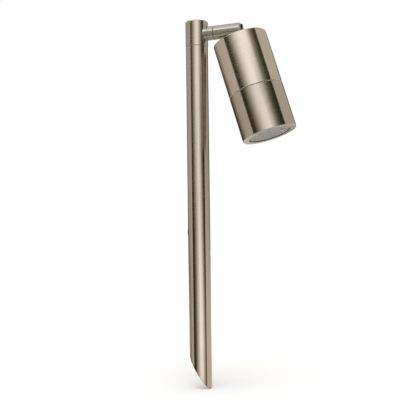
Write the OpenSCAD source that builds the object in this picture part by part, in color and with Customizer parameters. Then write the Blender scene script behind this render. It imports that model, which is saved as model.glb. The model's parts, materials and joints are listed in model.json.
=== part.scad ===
// Garden spotlight: a tube stake, a swivelling side arm and a tilting cylindrical lamp head.
// Origin on the post's axis at the ground line, +Z up, the arm along +X. Lengths in millimetres.

/* [Post] */
// Outside diameter of the post tube
post_od = 25; // [22:0.5:30]
// Wall of the post tube
post_wall = 1.5; // [1:0.1:2]
// Height of the tube's top above the ground line
post_rise = 233.5; // [150:0.5:400]
// Length of the stake below the ground line, down to its point
stake_depth = 150; // [100:1:250]
// Angle of the slanted cut from the horizontal, in degrees
point_angle = 57.8; // [45:0.1:65]

/* [Cable way] */
// Height of the cable exit above the ground line
exit_height = 24; // [15:1:60]
// Diameter of the supply cable that the grommets take
cable_d = 5; // [4:0.1:5.5]
// Clearance round the cable in a grommet
cable_clear = 0.1; // [0.05:0.05:0.3]
// Rubber round the cable inside the wall's hole
grommet_neck = 0.8; // [0.6:0.1:1.2]
// Reach of a grommet's flange past its neck
grommet_lip = 1; // [0.6:0.1:1.4]
// Thickness of a grommet's flange
grommet_t = 0.5; // [0.4:0.1:1]

/* [Post cap] */
// Step of the cap past the tube, on the radius
cap_step = 0.2; // [0:0.05:0.6]
// Height of the cap above the tube
cap_h = 28.8; // [24:0.2:36]
// Rounding of the cap's top edge
cap_edge = 1.5; // [0.5:0.1:3]
// Length of the cap's spigot inside the tube
cap_spigot = 12; // [8:0.5:20]
// Diameter of the cable way inside the cap
cap_bore_d = 12; // [10:0.5:13]
// Section diameter of the cap's sealing ring
cap_ring_d = 1.8; // [1.2:0.1:2]

/* [Arm] */
// Outside diameter of the arm
arm_od = 15.5; // [14:0.1:18]
// Height of the arm's axis above the tube's top
arm_rise = 14.1; // [13:0.1:16]
// Thickness of the saddle past the cap, on the arm's axis
saddle_t = 2.5; // [1.5:0.1:4]
// Width of the lock collar
collar_w = 7.4; // [5:0.1:10]
// Gap between the collar and the turning arm
swivel_gap = 0.4; // [0.2:0.05:0.5]
// Length of the turning arm
arm_len = 31.7; // [30:0.1:45]
// Rounding of the arm's end
arm_edge = 1; // [0.3:0.1:1.5]
// Width of the fork's slot
fork_slot = 6; // [5:0.1:7]

/* [Swivel stud] */
// Outside diameter of the hollow stud
stud_d = 10; // [9:0.1:11]
// Diameter of the cable way through the stud
stud_bore_d = 5.6; // [5:0.1:6]
// Length of the stud inside the turning arm
journal_len = 13.6; // [12:0.1:14]
// Running clearance of a shaft in its bore, on the radius
run_clear = 0.05; // [0.02:0.01:0.08]
// Section diameter of the swivel's sealing ring
swivel_ring_d = 1.2; // [0.8:0.1:1.3]
// Diameter of the grub screw that rides in the stud's groove
grub_d = 4; // [3:0.5:4.5]
// Depth of the groove for the grub screw
grub_groove = 0.9; // [0.5:0.1:1.2]

/* [Tilt joint] */
// Tilt of the head away from hanging straight down, in degrees
head_tilt = 17.45; // [0:0.05:90]
// Distance from the arm's end back to the tilt pivot
pivot_back = 5.9; // [5.5:0.1:6.5]
// Radius of the tongue's rounded end
tongue_r = 5.5; // [4.5:0.1:5.8]
// Thickness of each friction washer
washer_t = 0.7; // [0.5:0.1:1]
// Clearance between a friction washer and the fork
fork_clear = 0.1; // [0.05:0.05:0.2]
// Diameter of the pivot screw
pivot_d = 4; // [3:0.5:5]
// Diameter of the pivot screw's head
pivot_head_d = 7; // [6:0.5:8]
// Height of the pivot screw's head
pivot_head_h = 2.4; // [2:0.1:3]
// Distance from the pivot to the head's top face
head_drop = 12; // [11.5:0.1:16]
// Height of the round boss under the tongue
boss_h = 1.4; // [0.8:0.1:1.5]
// Diameter of the threaded tail that holds the tongue to the head
tail_d = 8; // [6:0.5:10]

/* [Head] */
// Outside diameter of the head
head_od = 60.2; // [56:0.2:70]
// Length of the rear housing
rear_len = 61.2; // [56:0.2:80]
// Length of the front housing
front_len = 50.7; // [46:0.1:70]
// Gap that shows as a line between the two housings
seam_gap = 0.3; // [0.15:0.05:0.5]
// Wall of both housings
shell_wall = 2.5; // [2:0.1:3]
// Thickness of the rear housing's top plate
plate_t = 4; // [3.5:0.1:6]
// Rounding of the top edge
top_edge = 0.8; // [0.3:0.1:2]
// Chamfer of the edges at the seam
seam_edge = 0.4; // [0.1:0.05:0.6]
// Chamfer of the front edge
rim_edge = 0.5; // [0.2:0.1:1]
// Step from the outside in to the threaded spigot
spigot_step = 1.6; // [1.4:0.1:2]
// Wall of the threaded spigot
spigot_wall = 2.3; // [2:0.1:2.6]
// Length of the threaded spigot
spigot_len = 10; // [7:0.5:12]
// Section diameter of the sealing ring on the spigot
seam_ring_d = 1.4; // [1:0.1:1.6]

/* [Lens] */
// Width of the flat rim round the lens
rim_w = 6.8; // [5:0.1:9]
// Thickness of the rim
rim_t = 2.5; // [1.5:0.1:4]
// Thickness of the lens's flange
lens_t = 4; // [3:0.1:6]
// Depth of the lens's face inside the rim
lens_recess = 0.8; // [0.4:0.1:1.4]
// Thickness of the lens gasket
gasket_t = 1; // [0.6:0.1:2]
// Gap round the lens
lens_clear = 0.4; // [0.2:0.1:0.8]
// Height of the retaining ring
keeper_h = 3.5; // [2.5:0.1:5]
// Width of the retaining ring
keeper_w = 3; // [2:0.1:4]

/* [Lamp] */
// Gap between the lamp and the spigot's bore
lamp_clear = 1.2; // [0.8:0.1:2]
// Gap between the lamp's face and the retaining ring
lamp_gap = 2.6; // [1.5:0.1:4]
// Length of the lamp without its pins
lamp_len = 48; // [44:0.5:50]
// Depth of the lamp's straight front band
lamp_band = 6; // [4:0.5:8]
// Diameter of the lamp's base
lamp_base_d = 26; // [22:0.5:28]
// Height of the lamp's base
lamp_base_h = 9; // [7:0.5:11]
// Thickness of the lamp's own lens
lamp_lens_t = 2; // [1.5:0.1:3]
// Number of cooling slots round the lamp
lamp_slots = 18; // [12:1:24]
// Width of a cooling slot
lamp_slot_w = 1.6; // [1:0.1:2]
// Distance between the two pins
pin_pitch = 10; // [9:0.5:11]
// Diameter of a pin's stem
pin_d = 3; // [2.5:0.1:3.5]
// Diameter of a pin's head
pin_head_d = 4.6; // [4:0.1:5]
// Length of a pin
pin_len = 7; // [6:0.5:8]

/* [Lamp carrier] */
// Height of the ceramic lamp holder
holder_h = 14; // [12:0.5:16]
// Diameter of the ceramic lamp holder
holder_d = 28; // [26:0.5:30]
// Thickness of the sheet bracket
bracket_t = 1.2; // [0.8:0.1:1.5]
// Width of the sheet bracket
bracket_w = 14; // [12:0.5:16]
// Diameter of the small screws
screw_d = 3; // [2.5:0.1:3.5]
// Diameter of the small screws' heads
screw_head_d = 5.5; // [5:0.1:6]
// Height of the small screws' heads
screw_head_h = 2; // [1.5:0.1:2.5]
// Depth of the small screws in what they hold to
screw_bite = 3; // [2:0.1:3.2]
// Length of the terminal block
block_l = 17; // [14:0.5:20]
// Width of the terminal block
block_w = 10; // [8:0.5:12]
// Height of the terminal block
block_h = 9; // [7:0.5:12]

/* [Hidden] */
$fn = 72;

// Overrun of every cut past the face that it opens
over = 0.5;

// Post
post_r = post_od / 2;
post_in_r = post_r - post_wall;
tube_chamfer = 0.25;
exit_azimuth = 180;
neck_r = cable_d / 2 + cable_clear + grommet_neck;
bore_r = cable_d / 2 + cable_clear;
lip_r = neck_r + grommet_lip;

// Cap
cap_r = post_r + cap_step;
cap_chamfer = cap_step + tube_chamfer;
cap_bore_r = cap_bore_d / 2;
arm_z = post_rise + arm_rise;
ring_room_share = 1.15;

// Arm
arm_r = arm_od / 2;
saddle_x = cap_r + saddle_t;
collar_x = saddle_x + collar_w;
arm_x = collar_x + swivel_gap;
arm_end_x = arm_x + arm_len;
pivot_x = arm_end_x - pivot_back;
slot_clear = 0.6;
slot_x = pivot_x - tongue_r - slot_clear;
collar_chamfer = 0.4;

// Stud
stud_r = stud_d / 2;
stud_bore_r = stud_bore_d / 2;
stud_x = cap_bore_r + slot_clear;
stud_end_x = collar_x + journal_len;
swivel_ring_share = 0.2;
swivel_ring_x = collar_x + journal_len * swivel_ring_share;
grub_share = 0.62;
grub_x = collar_x + journal_len * grub_share;
grub_r = grub_d / 2;
grub_key_share = 0.5;
grub_sink = 0.5;

// Tilt joint
tongue_t = fork_slot - 2 * washer_t - 2 * fork_clear;
pivot_r = pivot_d / 2;
pivot_sink = 0.1;
pivot_seat_y = arm_r - pivot_head_h - pivot_sink;
pivot_skin = 1.4;
key_share = 0.5;
washer_share = 0.9;
boss_share = 1.22;
tail_r = tail_d / 2;
tail_washer_share = 1.9;
tail_washer_t = 1.2;
nut_share = 1.85;
nut_h_share = 0.65;
tail_over = 1;

// Head levels, measured from the pivot along the head's own axis
head_r = head_od / 2;
shell_in_r = head_r - shell_wall;
top_z = -head_drop;
plate_z = top_z - plate_t;
seam_z = top_z - rear_len;
sleeve_z = seam_z - seam_gap;
front_z = sleeve_z - front_len;
spigot_r = head_r - spigot_step;
spigot_in_r = spigot_r - spigot_wall;
neck_share = 0.13;
neck_len = rear_len * neck_share;
pocket_clear = 0.5;
seam_ring_share = 0.25;
seam_ring_z = sleeve_z - spigot_len * seam_ring_share;
rim_in_r = head_r - rim_w;

// Cable way into the head, towards the post
entry_clear = 0.9;
entry_x = -(tail_r * tail_washer_share + lip_r + entry_clear);

// Lens stack
rim_z = front_z + rim_t;
lens_z = rim_z + gasket_t;
keeper_z = lens_z + lens_t;
lamp_z = keeper_z + keeper_h + lamp_gap;
gasket_lip = 0.6;
notch_share = 0.5;

// Lamp
lamp_r = spigot_in_r - lamp_clear;
lamp_base_r = lamp_base_d / 2;
lamp_back_z = lamp_z + lamp_len;
lamp_shell = 2;
lamp_waist_share = 1.15;
cone_z = lamp_z + lamp_band;
cone_top_z = lamp_back_z - lamp_base_h;
slot_end_share = 0.12;

// Carrier
carrier_turn = -90;
holder_z = lamp_back_z + holder_h;
holder_r = holder_d / 2;
bracket_z = holder_z + bracket_t;
leg_share = 0.72;
leg_x = shell_in_r * leg_share;
screw_r = screw_d / 2;
screw_head_r = screw_head_d / 2;
foot_clear = 0.3;
foot_screw_x = leg_x + screw_head_r + foot_clear;
foot_x = foot_screw_x + screw_head_r + foot_clear;
holder_screw_share = 0.62;
holder_screw_x = holder_r * holder_screw_share;
drive_share = 0.35;
drive_reach_share = 0.5;
block_y_share = 0.62;
block_y = shell_in_r * block_y_share;
pole_share = 0.62;
block_bore_share = 0.42;
clamp_share = 0.55;
wire_share = 0.62;
grip_share = 0.44;

// A rod along the arm's axis between two distances from the post's axis
module rod_x(r, x0, x1) {
    translate([x0, 0, arm_z]) rotate([0, 90, 0]) cylinder(r = r, h = x1 - x0);
}

// A ring of revolution about the arm's axis from a profile of distance and radius
module turned_x() {
    translate([0, 0, arm_z]) rotate([0, 90, 0]) rotate_extrude() children();
}

// Places what is drawn about the head's own axis, with the pivot at its origin
module head_frame() {
    translate([pivot_x, 0, arm_z]) rotate([0, -head_tilt, 0]) children();
}

// Turns what is drawn about the head's axis, so that the carrier stands clear of the cable
module carrier_frame() {
    head_frame() rotate([0, 0, carrier_turn]) children();
}

// A rod along the vertical or the head's own axis between two heights
module rod_z(r, z0, z1) {
    translate([0, 0, z0]) cylinder(r = r, h = z1 - z0);
}

// Profile of a turned block from the axis to r, with one outer corner rounded at the top
module rounded_block(r, z0, z1, edge) {
    translate([0, z0]) square([r, z1 - z0 - edge]);
    translate([0, z0]) square([r - edge, z1 - z0]);
    translate([r - edge, z1 - edge]) circle(r = edge);
}

// Triangle that chamfers an outer corner at (r, z); side is 1 where the piece lies above it
module corner_cut(r, z, c, side) {
    polygon([
        [r - c - over, z - side * over],
        [r + over, z - side * over],
        [r + over, z + side * (c + over)]
    ]);
}

// Ring of round section, lying about the vertical axis
module ring_z(outer_r, section_d, z) {
    translate([0, 0, z]) rotate_extrude()
        translate([outer_r - section_d / 2, 0]) circle(d = section_d);
}

// Rectangular groove in a turned profile, open at radius r
module groove_2d(r, section_d, z) {
    translate([r - section_d, z - section_d * ring_room_share / 2])
        square([section_d + over, section_d * ring_room_share]);
}

// Screw with a round head and a cross slot, pointing down, its seat at z = 0
module small_screw(bite) {
    difference() {
        union() {
            rod_z(screw_r, -bite, 0);
            rod_z(screw_head_r, 0, screw_head_h);
        }
        for (turn = [0, 90]) rotate([0, 0, turn])
            translate([
                -screw_head_r * drive_reach_share, -screw_r * drive_share / 2, screw_head_h / 2
            ])
                cube([2 * screw_head_r * drive_reach_share, screw_r * drive_share, screw_head_h]);
    }
}

// Wedge of space below the slanted cut
module point_cut() {
    reach = 4 * post_od;
    translate([post_r, 0, -stake_depth]) rotate([0, point_angle, 0])
        translate([-reach, -reach / 2, -reach]) cube([reach + over, reach, reach]);
}

// Tube stake with its slanted point and the hole for the cable
module stake_tube() {
    color([0.66, 0.61, 0.54]) difference() {
        rod_z(post_r, -stake_depth, post_rise);
        rod_z(post_in_r, -stake_depth - over, post_rise + over);
        rotate_extrude() corner_cut(post_r, post_rise, tube_chamfer, -1);
        point_cut();
        rotate([0, 0, exit_azimuth]) translate([0, 0, exit_height]) rotate([0, 90, 0])
            cylinder(r = neck_r, h = post_r + over);
    }
}

// Rubber grommet of the cable exit; both flanges follow the tube's wall
module exit_grommet() {
    color([0.12, 0.12, 0.12]) difference() {
        intersection() {
            difference() {
                rod_z(post_r + grommet_t, exit_height - 2 * lip_r, exit_height + 2 * lip_r);
                rod_z(post_in_r - grommet_t, exit_height - 3 * lip_r, exit_height + 3 * lip_r);
                difference() {
                    rod_z(post_r, exit_height - 3 * lip_r, exit_height + 3 * lip_r);
                    rod_z(post_in_r, exit_height - 4 * lip_r, exit_height + 4 * lip_r);
                    exit_rod(neck_r);
                }
            }
            exit_rod(lip_r);
        }
        exit_rod(bore_r);
    }
}

// A rod through the wall at the cable exit
module exit_rod(r) {
    rotate([0, 0, exit_azimuth]) translate([0, 0, exit_height]) rotate([0, 90, 0])
        cylinder(r = r, h = post_r + grommet_t + over);
}

// Solid turned cap with a spigot, a cable way and the side hole for the stud
module post_cap() {
    way_top = arm_z + stud_r;
    color([0.66, 0.61, 0.54]) difference() {
        rotate_extrude() difference() {
            union() {
                rounded_block(cap_r, post_rise, post_rise + cap_h, cap_edge);
                translate([0, post_rise - cap_spigot]) square([post_in_r, cap_spigot]);
            }
            groove_2d(post_in_r, cap_ring_d, post_rise - cap_spigot / 2);
            corner_cut(cap_r, post_rise, cap_chamfer, 1);
            translate([0, post_rise - cap_spigot - over])
                square([cap_bore_r, way_top - post_rise + cap_spigot + over]);
        }
        rod_x(stud_r, 0, cap_r + over);
    }
}

// Sealing ring between the cap's spigot and the tube
module cap_ring() {
    color([0.12, 0.12, 0.12]) ring_z(post_in_r, cap_ring_d, post_rise - cap_spigot / 2);
}

// Hollow stud: threaded into the cap, smooth where the arm turns, grooved for ring and grub
module arm_stud() {
    color([0.72, 0.66, 0.5]) turned_x() difference() {
        translate([stud_bore_r, stud_x]) square([stud_r - stud_bore_r, stud_end_x - stud_x]);
        groove_2d(stud_r, swivel_ring_d, swivel_ring_x);
        translate([stud_r - grub_groove, grub_x - grub_r - swivel_gap])
            square([grub_groove + over, grub_d + 2 * swivel_gap]);
    }
}

// Saddle between the round cap and the arm's flat collar
module arm_saddle() {
    color([0.68, 0.63, 0.56]) difference() {
        rod_x(arm_r, 0, saddle_x);
        rod_z(cap_r, arm_z - arm_od, arm_z + arm_od);
        rod_x(stud_r, 0, saddle_x + over);
    }
}

// Threaded collar that clamps the saddle against the cap
module lock_collar() {
    color([0.68, 0.63, 0.56]) turned_x() difference() {
        translate([stud_r, saddle_x]) square([arm_r - stud_r, collar_w]);
        corner_cut(arm_r, saddle_x, collar_chamfer, 1);
        corner_cut(arm_r, collar_x, collar_chamfer, -1);
    }
}

// Sealing ring on the stud inside the arm
module swivel_ring() {
    color([0.12, 0.12, 0.12]) translate([swivel_ring_x, 0, arm_z]) rotate([0, 90, 0])
        ring_z(stud_r, swivel_ring_d, 0);
}

// Turning arm with its blind bore, cable way, fork slot and pivot holes
module fork_arm() {
    color([0.68, 0.63, 0.56]) difference() {
        turned_x() difference() {
            rounded_block(arm_r, arm_x, arm_end_x, arm_edge);
            corner_cut(arm_r, arm_x, collar_chamfer, 1);
        }
        rod_x(stud_r + run_clear, arm_x - over, stud_end_x + slot_clear);
        rod_x(stud_bore_r, arm_x, arm_end_x);
        translate([slot_x, -fork_slot / 2, arm_z - arm_od])
            cube([arm_len, fork_slot, 2 * arm_od]);
        translate([pivot_x, 0, arm_z]) rotate([-90, 0, 0]) {
            rod_z(pivot_r, -(arm_r - pivot_skin), arm_r);
            rod_z(pivot_head_d / 2, pivot_seat_y, arm_r + over);
        }
        translate([grub_x, 0, arm_z]) rotate([-90, 0, 0]) rod_z(grub_r, 0, arm_r + over);
    }
}

// Grub screw that keeps the arm on the stud and sets how stiffly it turns
module swivel_grub() {
    tip = stud_r - grub_groove + run_clear;
    tail = arm_r - grub_sink;
    color([0.3, 0.3, 0.31]) translate([grub_x, 0, arm_z]) rotate([-90, 0, 0]) difference() {
        rod_z(grub_r, tip, tail);
        translate([0, 0, (tip + tail) / 2])
            cylinder(r = grub_r * grub_key_share, h = tail, $fn = 6);
    }
}

// Pivot screw: its head sits in one cheek of the fork and its end holds in the other
module pivot_screw() {
    color([0.3, 0.3, 0.31]) translate([pivot_x, 0, arm_z]) rotate([-90, 0, 0]) difference() {
        union() {
            rod_z(pivot_r, -(arm_r - pivot_skin), pivot_seat_y);
            rod_z(pivot_head_d / 2 - run_clear, pivot_seat_y, pivot_seat_y + pivot_head_h);
        }
        translate([0, 0, pivot_seat_y + pivot_head_h / 2])
            cylinder(r = pivot_r * key_share * 2, h = pivot_head_h, $fn = 6);
    }
}

// Tongue that tilts in the fork, with its boss and the threaded tail through the top plate
module tilt_knuckle() {
    tail_end = plate_z - tail_washer_t - tail_d * nut_h_share - tail_over;
    color([0.68, 0.63, 0.56]) head_frame() difference() {
        union() {
            rotate([90, 0, 0]) linear_extrude(height = tongue_t, center = true) union() {
                circle(r = tongue_r);
                translate([-tongue_r, top_z]) square([2 * tongue_r, head_drop]);
            }
            rod_z(tongue_r * boss_share, top_z, top_z + boss_h);
            rod_z(tail_r, tail_end, top_z);
        }
        rotate([90, 0, 0]) translate([0, 0, -tongue_t])
            cylinder(r = pivot_r + run_clear, h = 2 * tongue_t);
    }
}

// Two friction washers, one on each face of the tongue
module friction_washers() {
    color([0.8, 0.78, 0.7]) head_frame() rotate([90, 0, 0])
        for (side = [-1, 1]) translate([0, 0, side * (tongue_t + washer_t) / 2])
            linear_extrude(height = washer_t, center = true) difference() {
                circle(r = tongue_r * washer_share);
                circle(r = pivot_r + run_clear);
            }
}

// Plain washer on the tail, inside the rear housing
module tail_washer() {
    color([0.6, 0.6, 0.62]) head_frame() difference() {
        rod_z(tail_r * tail_washer_share, plate_z - tail_washer_t, plate_z);
        rod_z(tail_r, plate_z - 2 * tail_washer_t, plate_z + over);
    }
}

// Hexagon nut on the tail
module tail_nut() {
    nut_h = tail_d * nut_h_share;
    nut_z = plate_z - tail_washer_t - nut_h;
    color([0.6, 0.6, 0.62]) head_frame() difference() {
        translate([0, 0, nut_z]) cylinder(r = tail_r * nut_share, h = nut_h, $fn = 6);
        rod_z(tail_r, nut_z - over, nut_z + nut_h + over);
    }
}

// Rear housing: top plate, side wall, neck and the threaded spigot below the seam
module rear_housing() {
    color([0.66, 0.61, 0.54]) head_frame() difference() {
        rotate_extrude() difference() {
            union() {
                rounded_block(head_r, seam_z, top_z, top_edge);
                translate([0, seam_z - spigot_len]) square([spigot_r, spigot_len]);
            }
            translate([0, seam_z + neck_len])
                square([shell_in_r, rear_len - plate_t - neck_len]);
            translate([0, seam_z - spigot_len - over])
                square([spigot_in_r, spigot_len + neck_len + 2 * over]);
            groove_2d(spigot_r, seam_ring_d, seam_ring_z);
            corner_cut(head_r, seam_z, seam_edge, 1);
        }
        rod_z(tail_r, plate_z - over, top_z + over);
        translate([entry_x, 0, 0]) rod_z(neck_r, plate_z - over, top_z + over);
        rotate([0, 0, carrier_turn]) {
            for (side = [-1, 1]) translate([side * foot_screw_x, 0, 0])
                rod_z(screw_r, plate_z - over, plate_z + screw_bite);
            translate([0, block_y, 0]) rod_z(screw_r, plate_z - over, plate_z + screw_bite);
        }
    }
}

// Rubber grommet where the cable enters the head's top plate
module head_grommet() {
    color([0.12, 0.12, 0.12]) head_frame() translate([entry_x, 0, 0]) difference() {
        union() {
            rod_z(neck_r, plate_z, top_z);
            rod_z(lip_r, top_z, top_z + grommet_t);
            rod_z(lip_r, plate_z - grommet_t, plate_z);
        }
        rod_z(bore_r, plate_z - over - grommet_t, top_z + over + grommet_t);
    }
}

// Sealing ring on the spigot, inside the front housing
module seam_ring() {
    color([0.12, 0.12, 0.12]) head_frame() ring_z(spigot_r, seam_ring_d, seam_ring_z);
}

// Bent sheet bracket that hangs the lamp holder from the top plate
module holder_bracket() {
    color([0.75, 0.75, 0.77]) carrier_frame() difference() {
        union() {
            translate([-leg_x, -bracket_w / 2, holder_z]) cube([2 * leg_x, bracket_w, bracket_t]);
            for (side = [0, 1]) mirror([side, 0, 0]) {
                translate([leg_x - bracket_t, -bracket_w / 2, holder_z])
                    cube([bracket_t, bracket_w, plate_z - holder_z]);
                translate([leg_x - bracket_t, -bracket_w / 2, plate_z - bracket_t])
                    cube([foot_x - leg_x + bracket_t, bracket_w, bracket_t]);
            }
        }
        for (side = [-1, 1]) {
            translate([side * foot_screw_x, 0, 0])
                rod_z(screw_r, plate_z - 2 * bracket_t, plate_z + over);
            translate([side * holder_screw_x, 0, 0])
                rod_z(screw_r, holder_z - over, bracket_z + over);
        }
        rod_z(pin_pitch / 2, holder_z - over, bracket_z + over);
    }
}

// Two screws that hold the bracket's feet to the top plate
module bracket_screws() {
    color([0.3, 0.3, 0.31]) carrier_frame() for (side = [-1, 1])
        translate([side * foot_screw_x, 0, plate_z - bracket_t]) mirror([0, 0, 1])
            small_screw(screw_bite + bracket_t);
}

// Ceramic lamp holder with its two pin sockets
module lamp_holder() {
    color([0.93, 0.92, 0.88]) carrier_frame() difference() {
        rod_z(holder_r, lamp_back_z, holder_z);
        for (side = [-1, 1]) {
            translate([0, side * pin_pitch / 2, 0])
                rod_z(pin_head_d / 2 + lens_clear, lamp_back_z - over, lamp_back_z + pin_len + over);
            translate([side * holder_screw_x, 0, 0])
                rod_z(screw_r, holder_z - screw_bite, holder_z + over);
        }
    }
}

// Two screws that hold the lamp holder to the bracket
module holder_screws() {
    color([0.3, 0.3, 0.31]) carrier_frame() for (side = [-1, 1])
        translate([side * holder_screw_x, 0, bracket_z]) small_screw(screw_bite + bracket_t);
}

// Two-way terminal block on the top plate's inner face
module terminal_block() {
    color([0.9, 0.9, 0.86]) carrier_frame() translate([0, block_y, 0]) difference() {
        translate([-block_l / 2, -block_w / 2, plate_z - block_h]) cube([block_l, block_w, block_h]);
        rod_z(screw_r, plate_z - block_h - over, plate_z + over);
        for (side = [-1, 1]) translate([side * block_l * pole_share / 2, 0, plate_z - block_h]) {
            rod_z(screw_r, -over, block_h * clamp_share);
            translate([0, 0, block_h * wire_share]) rotate([90, 0, 0])
                cylinder(r = screw_d * block_bore_share, h = 2 * block_w, center = true);
        }
        translate([-screw_head_r, -screw_head_r, plate_z - block_h - over])
            cube([screw_head_d, screw_head_d, screw_head_h + over]);
    }
}

// The terminal block's fixing screw and its two clamping screws
module terminal_screws() {
    bed = plate_z - block_h + screw_head_h;
    color([0.3, 0.3, 0.31]) carrier_frame() translate([0, block_y, 0]) {
        translate([0, 0, bed]) mirror([0, 0, 1]) small_screw(plate_z - bed + screw_bite);
        for (side = [-1, 1]) translate([side * block_l * pole_share / 2, 0, plate_z - block_h])
            rod_z(screw_r, 0, block_h * grip_share);
    }
}

// Lamp base with two headed pins
module lamp_base() {
    color([0.93, 0.93, 0.91]) carrier_frame() {
        rod_z(lamp_base_r, cone_top_z, lamp_back_z);
        for (side = [-1, 1]) translate([0, side * pin_pitch / 2, lamp_back_z]) {
            rod_z(pin_d / 2, 0, pin_len);
            rod_z(pin_head_d / 2, pin_len / 2, pin_len);
        }
    }
}

// Lamp shell: a straight band in front and a cone with cooling slots behind it
module lamp_body() {
    cone_h = cone_top_z - cone_z;
    waist_r = lamp_base_r * lamp_waist_share;
    lens_seat = lamp_z + lamp_lens_t;
    color([0.86, 0.86, 0.85]) head_frame() difference() {
        union() {
            rod_z(lamp_r, lamp_z, cone_z);
            translate([0, 0, cone_z]) cylinder(r1 = lamp_r, r2 = waist_r, h = cone_h);
        }
        rod_z(lamp_r - lamp_shell, lamp_z - over, lens_seat);
        for (i = [0 : lamp_slots - 1]) rotate([0, 0, i * 360 / lamp_slots])
            translate([waist_r, -lamp_slot_w / 2, cone_z + cone_h * slot_end_share])
                cube([lamp_r, lamp_slot_w, cone_h * (1 - 2 * slot_end_share)]);
    }
}

// Lamp's own front lens
module lamp_lens() {
    color([0.9, 0.95, 1]) head_frame() rod_z(lamp_r - lamp_shell, lamp_z, lamp_z + lamp_lens_t);
}

// Front housing: threaded pocket, lens chamber and the flat rim round the light's opening
module front_housing() {
    pocket_z = seam_z - spigot_len - pocket_clear;
    color([0.66, 0.61, 0.54]) head_frame() rotate_extrude() difference() {
        translate([rim_in_r, front_z]) square([rim_w, front_len]);
        translate([rim_in_r - over, rim_z])
            square([shell_in_r - rim_in_r + over, sleeve_z - rim_z + over]);
        translate([rim_in_r, pocket_z])
            square([spigot_r + run_clear - rim_in_r, sleeve_z - pocket_z + over]);
        corner_cut(head_r, front_z, rim_edge, 1);
        corner_cut(head_r, sleeve_z, seam_edge, -1);
    }
}

// Flat glass lens: its flange lies on the gasket and its face stands forward inside the rim
module lens_glass() {
    color([0.85, 0.88, 0.88]) head_frame() union() {
        rod_z(shell_in_r - lens_clear, lens_z, keeper_z);
        rod_z(rim_in_r - lens_clear, front_z + lens_recess, lens_z + over);
    }
}

// Gasket between the lens and the rim
module lens_gasket() {
    color([0.15, 0.15, 0.15]) head_frame() rotate_extrude()
        translate([rim_in_r + gasket_lip, rim_z])
            square([shell_in_r - rim_in_r - gasket_lip, gasket_t]);
}

// Threaded ring that holds the lens, with two notches for a key
module retaining_ring() {
    color([0.2, 0.2, 0.2]) head_frame() difference() {
        rotate_extrude() translate([shell_in_r - keeper_w, keeper_z]) square([keeper_w, keeper_h]);
        translate([-head_r, -keeper_w / 2, keeper_z + keeper_h * notch_share])
            cube([head_od, keeper_w, keeper_h]);
    }
}

stake_tube();
exit_grommet();
post_cap();
cap_ring();
arm_stud();
arm_saddle();
lock_collar();
swivel_ring();
fork_arm();
swivel_grub();
pivot_screw();
tilt_knuckle();
friction_washers();
tail_washer();
tail_nut();
rear_housing();
head_grommet();
seam_ring();
holder_bracket();
bracket_screws();
lamp_holder();
holder_screws();
terminal_block();
terminal_screws();
lamp_base();
lamp_body();
lamp_lens();
front_housing();
lens_glass();
lens_gasket();
retaining_ring();
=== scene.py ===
"""Garden spotlight: the finish of every piece, the studio and the camera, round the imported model.

The nickel pieces are turned about three axes: the post's, the arm's and the head's own. Each gets
scratches that run round its axis, and circles on the faces that are square to it.
"""
import json
import math

import bpy
import numpy as np
from bpy.props import FloatProperty, FloatVectorProperty, PointerProperty
from bpy.types import Operator, Panel, PropertyGroup
from mathutils import Matrix, Vector


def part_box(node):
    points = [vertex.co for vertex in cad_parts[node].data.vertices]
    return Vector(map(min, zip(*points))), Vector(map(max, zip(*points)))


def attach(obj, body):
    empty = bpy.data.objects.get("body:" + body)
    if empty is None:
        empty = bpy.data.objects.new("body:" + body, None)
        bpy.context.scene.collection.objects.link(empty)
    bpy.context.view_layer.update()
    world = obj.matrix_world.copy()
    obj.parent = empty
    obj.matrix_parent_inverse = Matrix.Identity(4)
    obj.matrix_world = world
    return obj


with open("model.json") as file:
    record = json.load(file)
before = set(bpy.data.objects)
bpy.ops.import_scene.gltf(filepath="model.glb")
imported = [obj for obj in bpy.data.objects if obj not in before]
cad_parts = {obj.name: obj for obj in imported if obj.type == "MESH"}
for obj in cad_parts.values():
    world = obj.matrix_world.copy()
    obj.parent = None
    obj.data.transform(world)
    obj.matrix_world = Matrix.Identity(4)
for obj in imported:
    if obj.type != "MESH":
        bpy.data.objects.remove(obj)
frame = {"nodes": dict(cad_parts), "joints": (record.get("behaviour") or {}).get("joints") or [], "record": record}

bl_info = {
    "name": "Garden spotlight",
    "version": (1, 0, 0),
    "blender": (4, 5, 0),
    "location": "View3D > Sidebar > Spotlight",
    "description": "Finishes, studio and camera of the garden spotlight",
    "category": "Object",
}

JOINTS = {joint["name"]: joint for joint in frame["joints"]}
NODES_OF_SLOT = {}
for subpart in frame["record"]["subparts"]:
    NODES_OF_SLOT.setdefault(subpart["material_slot"], []).append(subpart["node"])

# The axes that the pieces are turned about, and a point on each
POST_AXIS, POST_POINT = Vector((0, 0, 1)), Vector((0, 0, 0))
ARM_AXIS, ARM_POINT = Vector(JOINTS["arm_swivel"]["axis"]), Vector(JOINTS["arm_swivel"]["pos_m"])
HEAD_AXIS, HEAD_POINT = -Vector(JOINTS["front_unscrew"]["axis"]), Vector(JOINTS["head_tilt"]["pos_m"])
# The axis of the tilt joint's screw, which is square to the fork's slot
SCREW_AXIS = Vector((0, 1, 0))
# The floor carries the stake's point
FLOOR_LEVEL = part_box("stake_tube")[0].z
# Angle of the stake's slanted cut from the horizontal, and width and strength of the dark line
# along it
CUT_ANGLE = math.radians(57.8)
CUT_LINE, CUT_STRENGTH = 0.0007, 0.7
# Radius inside which the housings' walls are painted dark as shade, and a little over half the width
# of the fork's slot, whose walls are painted dark as shade
SHADED_BORE_RADIUS = 0.0236
SHADED_SLOT_HALF = 0.0031
# Share of the nickel's colour that is left in a bore and in the slot, both painted shade, and along the cut
BORE_SHADE_GAIN, SLOT_SHADE_GAIN, CUT_GAIN = 0.1, 0.15, 0.2

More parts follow.
